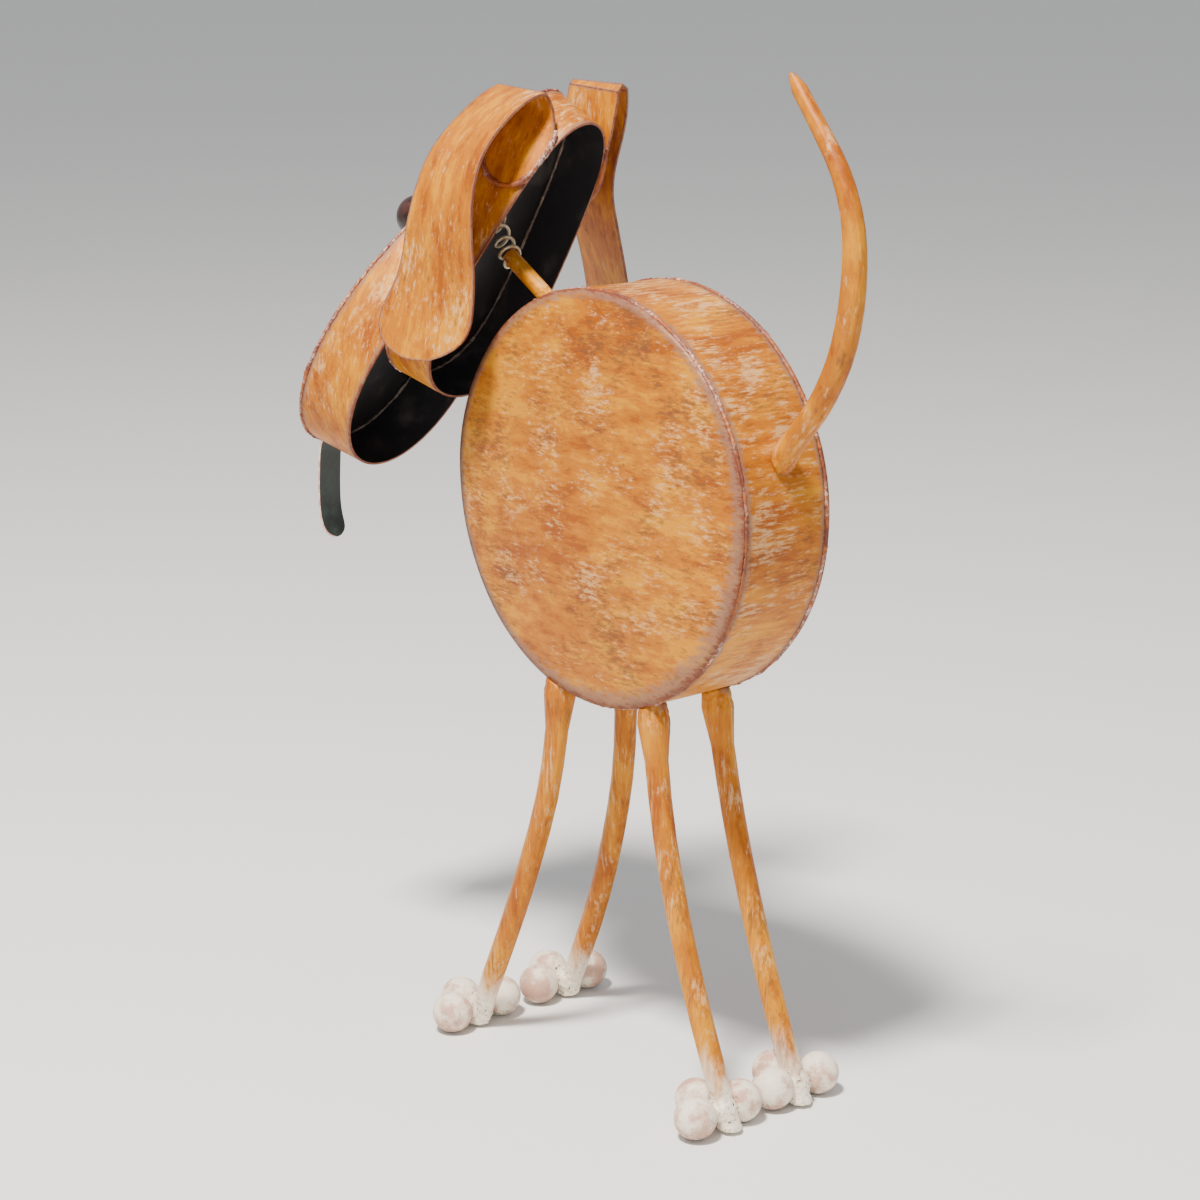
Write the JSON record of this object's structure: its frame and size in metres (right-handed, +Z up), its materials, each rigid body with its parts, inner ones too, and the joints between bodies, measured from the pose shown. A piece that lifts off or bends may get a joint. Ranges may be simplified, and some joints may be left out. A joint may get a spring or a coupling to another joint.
{
  "type": "scrap metal dog sculpture",
  "caption": "Welded dog garden sculpture: a drum body on bowed tube legs with ball toes, a rod tail and a strap-eared pan head that nods on a coil spring.",
  "frame": {"origin": "on the ground, in the middle of the sculpture's outline seen from above", "axes": "+Z up; the dog faces -Y and its left side is +X"},
  "size_m": [0.206, 0.4568, 0.6421],
  "materials": {
    "paint": "rubbed ochre paint with pale wear and rust-brown seams",
    "toe": "pale worn paint with rust blush",
    "wire": "dull steel wire with paint in its crevices",
    "eye": "dark maroon-brown, half gloss",
    "nose": "black, half gloss",
    "tongue": "dull red in front, dark behind"
  },
  "bodies": {
    "body": {"body_band": "paint", "flank_left": "paint", "flank_right": "paint", "leg_front_left": "paint", "leg_front_right": "paint", "leg_rear_left": "paint", "leg_rear_right": "paint", "toe_front_left_outer": "toe", "toe_front_left_middle": "toe", "toe_front_left_inner": "toe", "toe_front_right_outer": "toe", "toe_front_right_middle": "toe", "toe_front_right_inner": "toe", "toe_rear_left_outer": "toe", "toe_rear_left_middle": "toe", "toe_rear_left_inner": "toe", "toe_rear_right_outer": "toe", "toe_rear_right_middle": "toe", "toe_rear_right_inner": "toe", "tail": "paint", "neck": "paint", "neck_spring": "wire"},
    "head": {"skull_plate": "paint", "skull_band": "paint", "muzzle_band": "paint", "muzzle_plate": "paint", "ear_left": "paint", "ear_right": "paint", "eye_left": "eye", "eye_right": "eye", "nose": "nose", "tongue": "tongue"}
  },
  "joints": [
    {"name": "head_nod", "type": "hinge", "parent": "body", "child": "head", "pos_m": [0.0115, -0.0915, 0.5185], "axis": [1, 0, 0], "range_deg": [-8, 6], "stiffness_Nm_per_rad": 2, "springref_deg": -1.49, "deforming": ["neck_spring"]}
  ]
}
